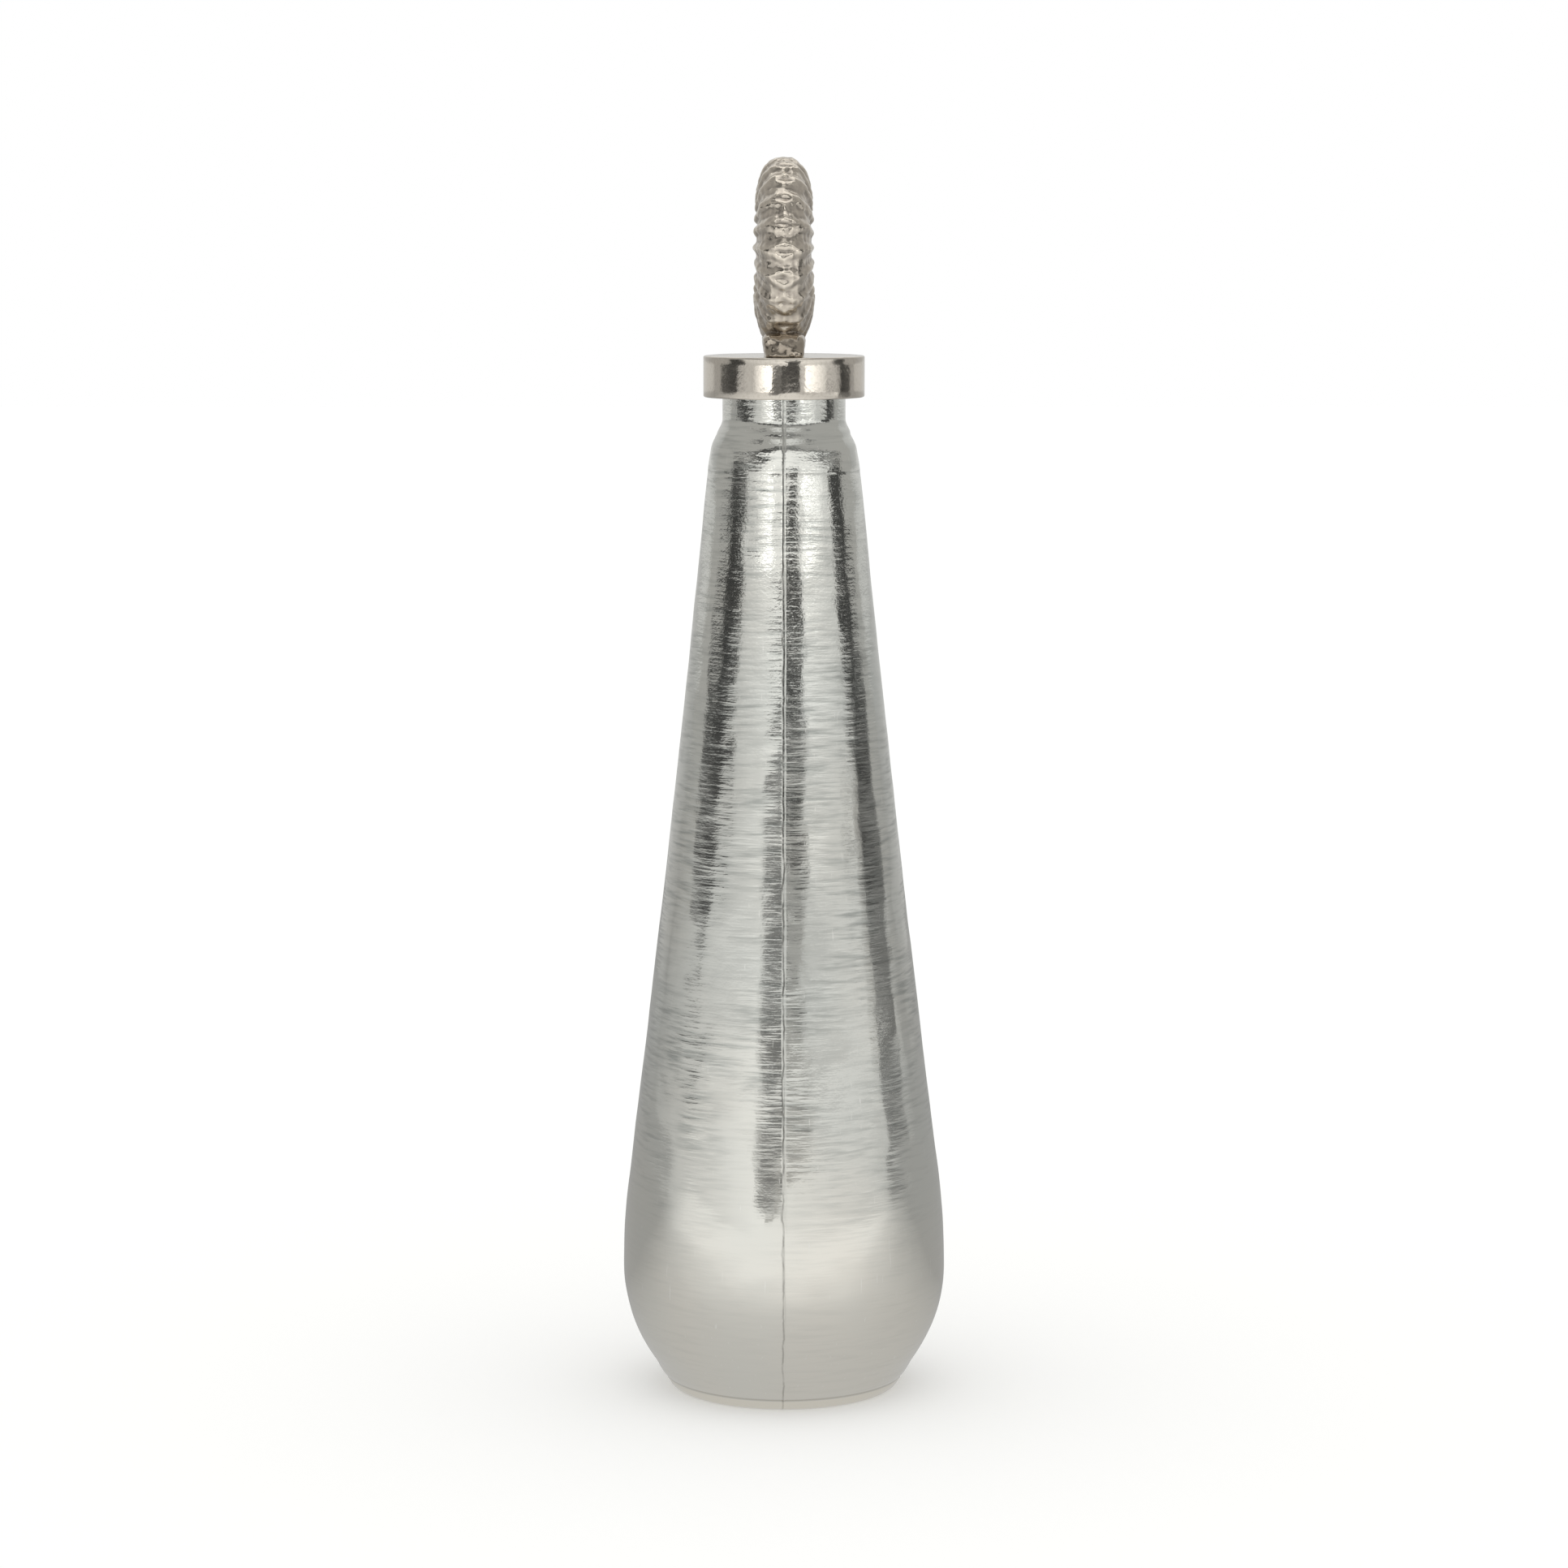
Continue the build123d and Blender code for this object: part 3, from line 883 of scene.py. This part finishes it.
    # Seen through the mouth, the back of the silvering is dull and partly matt
    outward = add(tree, "ShaderNodeVectorMath", {0: place, 1: (1.0, 1.0, 0.0)}, operation="MULTIPLY")
    facing = add(
        tree,
        "ShaderNodeVectorMath",
        {
            0: add(tree, "ShaderNodeNewGeometry").outputs["True Normal"],
            1: outward.outputs["Vector"],
        },
        operation="DOT_PRODUCT",
    ).outputs["Value"]
    inside = add(tree, "ShaderNodeMath", {0: facing, 1: -0.004}, operation="LESS_THAN").outputs[0]
    metal = add(tree, "ShaderNodeMapRange", {0: inside, 1: 0.0, 2: 1.0, 3: 1.0, 4: 0.45}).outputs[0]
    rough = add(tree, "ShaderNodeMath", {0: inside, 1: 0.2, 2: worn.outputs[0]}, operation="MULTIPLY_ADD")
    shader = add(
        tree,
        "ShaderNodeBsdfPrincipled",
        {
            "Base Color": scuffed,
            "Metallic": metal,
            "Roughness": rough.outputs[0],
            "Coat Weight": 0.25,
            "Coat Roughness": 0.08,
            "Normal": grained.outputs[0],
        },
    )
    add(tree, "ShaderNodeOutputMaterial", {"Surface": shader.outputs["BSDF"]})
    return material


def plated_lid_metal():
    """Nickel over a tumbled cap: warm, satin, with a fine pebbled grain that breaks up its reflections."""
    material, tree = new_material("satin_nickel_plate")
    place = add(tree, "ShaderNodeTexCoord").outputs["Object"]
    pebbles = add(tree, "ShaderNodeMapping", {0: place, 3: per_mm(1.0, 1.0, 1.3)}).outputs[0]
    pebble = add(tree, "ShaderNodeTexNoise", {0: pebbles, 2: 1.0, 3: 2.0, 4: 0.5}).outputs[0]
    pebbled = add(tree, "ShaderNodeBump", {0: 1.0, 1: PEBBLE_DEPTH, 3: pebble}).outputs[0]
    wide = add(tree, "ShaderNodeMapping", {0: place, 3: per_mm(12, 12, 12)}).outputs[0]
    cloud = add(tree, "ShaderNodeTexNoise", {0: wide, 2: 1.0, 3: 2.0}).outputs[0]
    nickel = add(
        tree,
        "ShaderNodeMix",
        {0: cloud, 6: tint(NICKEL), 7: tint(PALE_NICKEL)},
        data_type="RGBA",
    ).outputs[2]
    # Painted shade: the low places of the pebbling are a little darker
    pebble_shade = add(tree, "ShaderNodeMapRange", {0: pebble, 1: 0.36, 2: 0.5, 3: 0.12, 4: 0.0}).outputs[0]
    grained = add(
        tree,
        "ShaderNodeMix",
        {0: pebble_shade, 6: nickel, 7: tint(PEBBLE_PAINTED_SHADE)},
        data_type="RGBA",
    ).outputs[2]
    rough = add(tree, "ShaderNodeMapRange", {0: cloud, 1: 0.3, 2: 0.7, 3: 0.08, 4: 0.14}).outputs[0]
    shader = add(
        tree,
        "ShaderNodeBsdfPrincipled",
        {
            "Base Color": grained,
            "Metallic": 1.0,
            "Roughness": rough,
            "Normal": pebbled,
        },
    )
    add(tree, "ShaderNodeOutputMaterial", {"Surface": shader.outputs["BSDF"]})
    return material


def cast_metal():
    """Nickel over a sand casting: a painted highlight on the ribs, grey on the flanks, painted shade black
    in the crevices.
    """
    material, tree = new_material("cast_nickel_plate")
    place = add(tree, "ShaderNodeTexCoord").outputs["Object"]
    stand = add(tree, "ShaderNodeNewGeometry").outputs["Pointiness"]
    sand = add(tree, "ShaderNodeMapping", {0: place, 3: per_mm(1.1, 1.1, 1.1)}).outputs[0]
    grit = add(tree, "ShaderNodeTexNoise", {0: sand, 2: 1.0, 3: 3.0, 4: 0.6}).outputs[0]
    gritty = add(tree, "ShaderNodeBump", {0: 1.0, 1: GRIT_DEPTH, 3: grit}).outputs[0]
    # Painted highlight on what stands out and painted shade in what is sunk, found by pointiness
    proud = add(tree, "ShaderNodeMapRange", {0: stand, 1: 0.485, 2: 0.53, 3: 0.0, 4: 1.0}).outputs[0]
    crevice_shade = add(tree, "ShaderNodeMapRange", {0: stand, 1: 0.425, 2: 0.492, 3: 0.92, 4: 0.0}).outputs[0]
    rib_highlighted = add(
        tree,
        "ShaderNodeMix",
        {0: proud, 6: tint(CAST_FLANK), 7: tint(CAST_RIB_HIGHLIGHT)},
        data_type="RGBA",
    ).outputs[2]
    nickel = add(
        tree,
        "ShaderNodeMix",
        {0: crevice_shade, 6: rib_highlighted, 7: tint(CAST_CREVICE_SHADE)},
        data_type="RGBA",
    ).outputs[2]
    # Painted shade: the casting is brown and darker round the foot, next to the lid, and fades 20 mm up
    # the shell
    high = add(tree, "ShaderNodeSeparateXYZ", {0: place}).outputs["Z"]
    foot_shade = add(
        tree,
        "ShaderNodeMapRange",
        {0: high, 1: FOOT_SHADE_HEIGHTS[0], 2: FOOT_SHADE_HEIGHTS[1], 3: 0.6, 4: 0.0},
    ).outputs[0]
    foot_shaded = add(
        tree,
        "ShaderNodeMix",
        {0: foot_shade, 6: nickel, 7: tint(BROWN_FOOT_SHADE)},
        data_type="RGBA",
    ).outputs[2]
    rough = add(tree, "ShaderNodeMapRange", {0: proud, 1: 0.0, 2: 1.0, 3: 0.24, 4: 0.05}).outputs[0]
    shader = add(
        tree,
        "ShaderNodeBsdfPrincipled",
        {
            "Base Color": foot_shaded,
            "Metallic": 1.0,
            "Roughness": rough,
            "Normal": gritty,
        },
    )
    add(tree, "ShaderNodeOutputMaterial", {"Surface": shader.outputs["BSDF"]})
    return material


def plug_plastic():
    """Turned polyethylene: milky, with the close rings of the lathe."""
    material, tree = new_material("turned_polyethylene")
    place = add(tree, "ShaderNodeTexCoord").outputs["Object"]
    ring_place = add(tree, "ShaderNodeMapping", {0: place, 3: per_mm(40, 40, 0.5)}).outputs[0]
    rings = add(tree, "ShaderNodeTexNoise", {0: ring_place, 2: 1.0, 3: 1.0}).outputs[0]
    turned = add(tree, "ShaderNodeBump", {0: 0.6, 1: TURNED_DEPTH, 3: rings}).outputs[0]
    milky = add(
        tree,
        "ShaderNodeMix",
        {0: rings, 6: tint(MILKY), 7: tint(PALE_MILKY)},
        data_type="RGBA",
    ).outputs[2]
    shader = add(
        tree,
        "ShaderNodeBsdfPrincipled",
        {
            "Base Color": milky,
            "Roughness": 0.42,
            "IOR": 1.51,
            "Normal": turned,
        },
    )
    add(tree, "ShaderNodeOutputMaterial", {"Surface": shader.outputs["BSDF"]})
    return material


def silicone():
    """Moulded silicone rubber: pale, soft sheen, a faint bloom of dust."""
    material, tree = new_material("moulded_silicone")
    place = add(tree, "ShaderNodeTexCoord").outputs["Object"]
    dust_place = add(tree, "ShaderNodeMapping", {0: place, 3: per_mm(1.5, 1.5, 1.5)}).outputs[0]
    dust = add(tree, "ShaderNodeTexNoise", {0: dust_place, 2: 1.0, 3: 3.0}).outputs[0]
    bloom = add(
        tree,
        "ShaderNodeMix",
        {0: dust, 6: tint(SILICONE), 7: tint(SILICONE_DUST)},
        data_type="RGBA",
    ).outputs[2]
    rough = add(tree, "ShaderNodeMapRange", {0: dust, 1: 0.3, 2: 0.7, 3: 0.38, 4: 0.55}).outputs[0]
    skin = add(tree, "ShaderNodeBump", {0: 0.5, 1: SKIN_DEPTH, 3: dust}).outputs[0]
    shader = add(
        tree,
        "ShaderNodeBsdfPrincipled",
        {
            "Base Color": bloom,
            "Roughness": rough,
            "IOR": 1.41,
            "Normal": skin,
        },
    )
    add(tree, "ShaderNodeOutputMaterial", {"Surface": shader.outputs["BSDF"]})
    return material


def zinc_steel():
    """Zinc-plated steel: bluish grey, slightly cloudy, with a fine drawn grain."""
    material, tree = new_material("zinc_plated_steel")
    place = add(tree, "ShaderNodeTexCoord").outputs["Object"]
    grain_place = add(tree, "ShaderNodeMapping", {0: place, 3: per_mm(0.4, 0.4, 3)}).outputs[0]
    grain = add(tree, "ShaderNodeTexNoise", {0: grain_place, 2: 1.0, 3: 2.0}).outputs[0]
    zinc = add(
        tree,
        "ShaderNodeMix",
        {0: grain, 6: tint(ZINC), 7: tint(PALE_ZINC)},
        data_type="RGBA",
    ).outputs[2]
    drawn = add(tree, "ShaderNodeBump", {0: 0.5, 1: SKIN_DEPTH, 3: grain}).outputs[0]
    shader = add(
        tree,
        "ShaderNodeBsdfPrincipled",
        {
            "Base Color": zinc,
            "Metallic": 1.0,
            "Roughness": 0.34,
            "Normal": drawn,
        },
    )
    add(tree, "ShaderNodeOutputMaterial", {"Surface": shader.outputs["BSDF"]})
    return material


# ---------------------------------------------------------------- the studio

CARD_DISTANCE = 1.5
SKY = 0.43  # brightness of the room in the metal, away from the lights
WARM = (1.0, 0.995, 0.975)


def glow(name):
    """Light of the brightness painted on a card, in a slightly warm white."""
    material, tree = new_material(name)
    shade = add(tree, "ShaderNodeAttribute", attribute_name="shade").outputs["Color"]
    light = add(tree, "ShaderNodeEmission", {"Color": shade, "Strength": 1.0})
    add(tree, "ShaderNodeOutputMaterial", {"Surface": light.outputs[0]})
    material.cycles.emission_sampling = "NONE"
    return material


def only_in_gloss(card):
    """Seen in reflections, and nowhere else."""
    card.visible_camera = False
    card.visible_diffuse = False
    card.visible_shadow = False
    card.visible_transmission = False


def card(name, rows, nearer=0.0):
    """A curved card about the object. Rows go up: (height, from degrees, to degrees, light, light).

    Degrees count from the front towards +X.
    """
    columns = 16
    clear()
    bpy.ops.mesh.primitive_grid_add(x_subdivisions=columns, y_subdivisions=len(rows) - 1, size=1)
    piece = bpy.context.object
    piece.name = name
    shade = piece.data.color_attributes.new("shade", "FLOAT_COLOR", "POINT")
    for index, vertex in enumerate(piece.data.vertices):
        row, column = divmod(index, columns + 1)
        height, start, stop, first, last = rows[row]
        share = column / columns
        turn = radians(start + (stop - start) * share)
        reach = CARD_DISTANCE - nearer
        vertex.co = (reach * sin(turn), -reach * cos(turn), height)
        light = first + (last - first) * share
        shade.data[index].color = (*[light * part for part in WARM], 1.0)
    piece.data.materials.append(CARD_LIGHT)
    only_in_gloss(piece)


def overhead():
    """A square lamp straight above, for the top of the finial."""
    clear()
    bpy.ops.mesh.primitive_plane_add(size=1.5, location=(0, 0.1, 2.5))
    lamp = bpy.context.object
    lamp.name = "lamp_top"
    shade = lamp.data.color_attributes.new("shade", "FLOAT_COLOR", "POINT")
    for corner in shade.data:
        corner.color = (1.15, 1.14, 1.12, 1.0)
    lamp.data.materials.append(CARD_LIGHT)
    only_in_gloss(lamp)


def lamps():
    """Big soft cards to the front left and right, darker gaps between them, and a pale dome above."""
    card("card_left", [
        (0.00, -125, -14, 0.42, 0.96),
        (0.10, -120, -14, 0.42, 1.00),
        (0.17, -112, -18, 0.42, 0.98),
        (0.22, -92, -18, 0.52, 0.86),
        (0.27, -78, -18, 0.52, 0.76),
        (0.34, -66, 2, 0.56, 0.92),
        (0.40, -58, 6, 0.56, 0.92),
        (0.48, -55, 6, 0.66, 1.25),
        (0.56, -60, 6, 0.72, 1.05),
    ])
    card("card_right", [
        (0.00, -10, 120, 0.96, 0.46),
        (0.10, -6, 112, 0.92, 0.50),
        (0.14, 0, 80, 0.94, 0.80),
        (0.165, 24, 75, 0.60, 0.76),
        (0.22, 18, 75, 0.56, 0.72),
        (0.27, 14, 80, 0.62, 0.74),
        (0.34, 22, 80, 0.80, 0.66),
        (0.40, 22, 74, 0.84, 0.62),
        (0.48, 22, 70, 1.20, 0.68),
        (0.56, 22, 76, 0.84, 1.00),
    ])
    card("gap_middle_high", [
        (0.33, 0, 14, 0.30, 0.30),
        (0.38, 5, 20, 0.10, 0.10),
        (0.45, 6, 21, 0.05, 0.05),
        (0.50, 3, 24, 0.05, 0.05),
        (0.53, 0, 26, 0.12, 0.12),
        (0.56, -2, 26, 0.30, 0.30),
    ], nearer=0.04)
    card("gap_middle", [
        (0.095, -14, -8, 0.98, 0.98),
        (0.125, -18, -5, 0.66, 0.66),
        (0.15, -21, -7, 0.30, 0.30),
        (0.17, -23, -7, 0.22, 0.22),
        (0.20, -17, -3, 0.18, 0.18),
        (0.24, -20, 3, 0.20, 0.20),
        (0.28, -20, 0, 0.16, 0.16),
        (0.33, -14, 2, 0.22, 0.22),
        (0.37, -8, 0, 0.45, 0.45),
    ], nearer=0.05)
    card("gap_lid", [(0.305, -4, 22, 0.07, 0.04), (0.357, -4, 22, 0.07, 0.04)], nearer=0.8)
    card("lid_light_left", [(0.338, -45, -16, 0.5, 2.6), (0.358, -45, -16, 0.5, 2.6)], nearer=1.2)
    card("lid_light_right", [(0.338, 29, 60, 2.2, 0.8), (0.358, 29, 60, 2.2, 0.8)], nearer=1.2)
    card("gap_left", [
        (0.17, -100, -78, 0.42, 0.42),
        (0.225, -98, -74, 0.22, 0.22),
        (0.265, -99, -70, 0.08, 0.08),
        (0.285, -103, -71, 0.05, 0.05),
        (0.322, -101, -67, 0.05, 0.05),
        (0.345, -90, -59, 0.06, 0.06),
        (0.40, -80, -54, 0.05, 0.05),
        (0.458, -84, -59, 0.05, 0.05),
        (0.56, -86, -62, 0.05, 0.05),
    ], nearer=0.04)
    card("gap_right", [
        (0.00, 88, 106, 0.50, 0.50),
        (0.045, 83, 110, 0.26, 0.26),
        (0.09, 82, 106, 0.16, 0.16),
        (0.17, 84, 110, 0.20, 0.20),
        (0.22, 84, 109, 0.16, 0.16),
        (0.265, 84, 104, 0.08, 0.08),
        (0.285, 87, 109, 0.05, 0.05),
        (0.322, 86, 108, 0.05, 0.05),
        (0.345, 77, 97, 0.06, 0.06),
        (0.40, 71, 91, 0.06, 0.06),
        (0.44, 74, 95, 0.06, 0.06),
        (0.56, 76, 96, 0.06, 0.06),
    ], nearer=0.04)
    card("gap_neck", [(0.266, 62, 86, 0.14, 0.14), (0.286, 62, 86, 0.14, 0.14)], nearer=0.07)
    card("dome", [
        (0.56, -72, 88, 0.85, 0.85),
        (0.61, -60, 78, 0.95, 0.95),
        (0.66, -44, 62, 1.10, 1.05),
        (0.73, -33, 54, 1.10, 1.00),
        (0.82, -25, 42, 1.10, 0.95),
        (1.05, -13, 18, 1.10, 0.75),
        (1.30, -5, 6, 0.70, 0.60),
    ], nearer=0.03)
    card("dome_edge", [
        (0.60, -88, 100, 0.10, 0.14),
        (0.66, -70, 84, 0.05, 0.18),
        (0.73, -56, 74, 0.04, 0.18),
        (0.82, -46, 62, 0.04, 0.18),
        (1.05, -36, 42, 0.05, 0.20),
        (1.45, -20, 24, 0.08, 0.28),
        (1.65, -8, 8, 0.20, 0.34),
    ])
    card("ceiling_left", [(1.9, -84, -44, 0.30, 0.16), (3.6, -84, -44, 0.30, 0.16)])
    card("ceiling_lamp_left", [(2.0, -32, -6, 0.62, 0.90), (3.0, -32, -6, 0.62, 0.90)])
    card("ceiling_lamp_right", [(2.0, 4, 40, 0.80, 0.66), (3.0, 4, 40, 0.80, 0.66)])
    card("ceiling_right", [(1.9, 48, 78, 0.22, 0.30), (3.6, 48, 78, 0.22, 0.30)])
    card("wall_left", [
        (0.00, -180, -126, 0.60, 0.42),
        (0.25, -180, -126, 0.60, 0.42),
        (0.29, -180, -118, 0.70, 0.66),
        (0.33, -180, -118, 0.70, 0.66),
        (0.37, -180, -126, 0.68, 0.42),
        (0.80, -180, -126, 0.80, 0.50),
        (1.60, -180, -126, 1.05, 0.60),
    ], nearer=0.02)
    card("wall_right", [
        (0.00, 126, 180, 0.42, 0.60),
        (0.25, 126, 180, 0.42, 0.60),
        (0.29, 118, 180, 0.62, 0.70),
        (0.33, 118, 180, 0.62, 0.70),
        (0.37, 126, 180, 0.42, 0.68),
        (0.80, 126, 180, 0.50, 0.80),
        (1.60, 126, 180, 0.60, 1.05),
    ], nearer=0.02)
    card("lamp_back_left", [(1.7, -165, -128, 0.90, 1.10), (2.9, -165, -128, 0.90, 1.10)], nearer=0.02)
    card("lamp_back_right", [(1.7, 128, 165, 1.10, 0.90), (2.9, 128, 165, 1.10, 0.90)], nearer=0.02)
    overhead()


def floor():
    """Pale floor, and what the glass sees of it: bright in front and dimmer behind."""
    clear()
    bpy.ops.mesh.primitive_plane_add(size=16, location=(0, 0, 0))
    ground = bpy.context.object
    ground.name = "floor"
    material, tree = new_material("pale_floor")
    matt = add(tree, "ShaderNodeBsdfDiffuse", {"Color": tint(PALE_FLOOR)})
    lift = add(tree, "ShaderNodeEmission", {"Color": (1.0, 1.0, 1.0, 1.0), "Strength": 0.16})
    both = add(tree, "ShaderNodeAddShader", {0: matt.outputs[0], 1: lift.outputs[0]})
    add(tree, "ShaderNodeOutputMaterial", {"Surface": both.outputs[0]})
    ground.data.materials.append(material)
    ground.visible_glossy = False
    clear()
    bpy.ops.mesh.primitive_plane_add(size=16, location=(0, 0, -0.001))
    seen = bpy.context.object
    seen.name = "floor_in_gloss"
    material, tree = new_material("floor_light")
    place = add(tree, "ShaderNodeTexCoord").outputs["Object"]
    back = add(tree, "ShaderNodeSeparateXYZ", {0: place}).outputs["Y"]
    light = add(
        tree,
        "ShaderNodeMapRange",
        {0: back, 1: -0.38, 2: 0.12, 3: 0.95, 4: 0.38},
    ).outputs[0]
    glowing = add(tree, "ShaderNodeEmission", {"Color": (*WARM, 1.0), "Strength": light})
    add(tree, "ShaderNodeOutputMaterial", {"Surface": glowing.outputs[0]})
    material.cycles.emission_sampling = "NONE"
    seen.data.materials.append(material)
    only_in_gloss(seen)


def room():
    """White all round; in the metal it is the grey of a wide room."""
    world = bpy.data.worlds.new("room")
    world.use_nodes = True
    tree = world.node_tree
    tree.nodes.clear()
    gloss = add(tree, "ShaderNodeLightPath").outputs["Is Glossy Ray"]
    shade = add(
        tree,
        "ShaderNodeMix",
        {0: gloss, 6: (1.0, 1.0, 1.0, 1.0), 7: (SKY, SKY * 0.985, SKY * 0.95, 1.0)},
        data_type="RGBA",
    ).outputs[2]
    light = add(tree, "ShaderNodeBackground", {"Color": shade, "Strength": 1.0})
    add(tree, "ShaderNodeOutputWorld", {"Surface": light.outputs[0]})
    world.cycles.sampling_method = "NONE"
    bpy.context.scene.world = world


def camera():
    """A long lens from the front, level with the finial and tipped down."""
    lens = bpy.data.cameras.new("camera")
    lens.lens = 100.0
    lens.sensor_width = 36.0
    view = bpy.data.objects.new("camera", lens)
    bpy.context.scene.collection.objects.link(view)
    view.location = (0.0, -1.5144, 0.4116)
    view.rotation_euler = (radians(90 - 7.415), 0.0, 0.0)
    bpy.context.scene.camera = view


# ---------------------------------------------------------------- putting it together


def dress(piece, material, body, slot, *nodes):
    """Give a piece its material, and say what it moves with and what it replaces; the slot, its finish, is
    not used.
    """
    piece.data.materials.clear()
    piece.data.materials.append(material)
    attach(piece, body)
    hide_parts(*nodes)


def dress_node(node, material):
    """Give a CAD node its material."""
    for slot in bpy.data.objects[node].material_slots:
        slot.material = material


camera()
room()
CARD_LIGHT = glow("card_light")
lamps()
floor()
bpy.context.scene.view_settings.view_transform = "Standard"

dress(glass_bottle(), silvered_glass(), "bottle", "silvered_glass", "glass_bottle")
dress(lid_cap(), plated_lid_metal(), "stopper", "plated_lid", "lid_cap")
dress(cast_finial(), cast_metal(), "stopper", "plated_casting", "finial")
dress(stopper_plug(), plug_plastic(), "stopper", "plug_plastic", "stopper_core")
rubber = silicone()
dress(gasket(), rubber, "stopper", "silicone", "lid_gasket")
for ring_node in RING_NODES:
    dress(seal_ring(ring_node), rubber, "seals", "silicone", ring_node)
steel = zinc_steel()
for steel_node in ("clamp_screw", "flat_washer", "lock_washer"):
    dress_node(steel_node, steel)
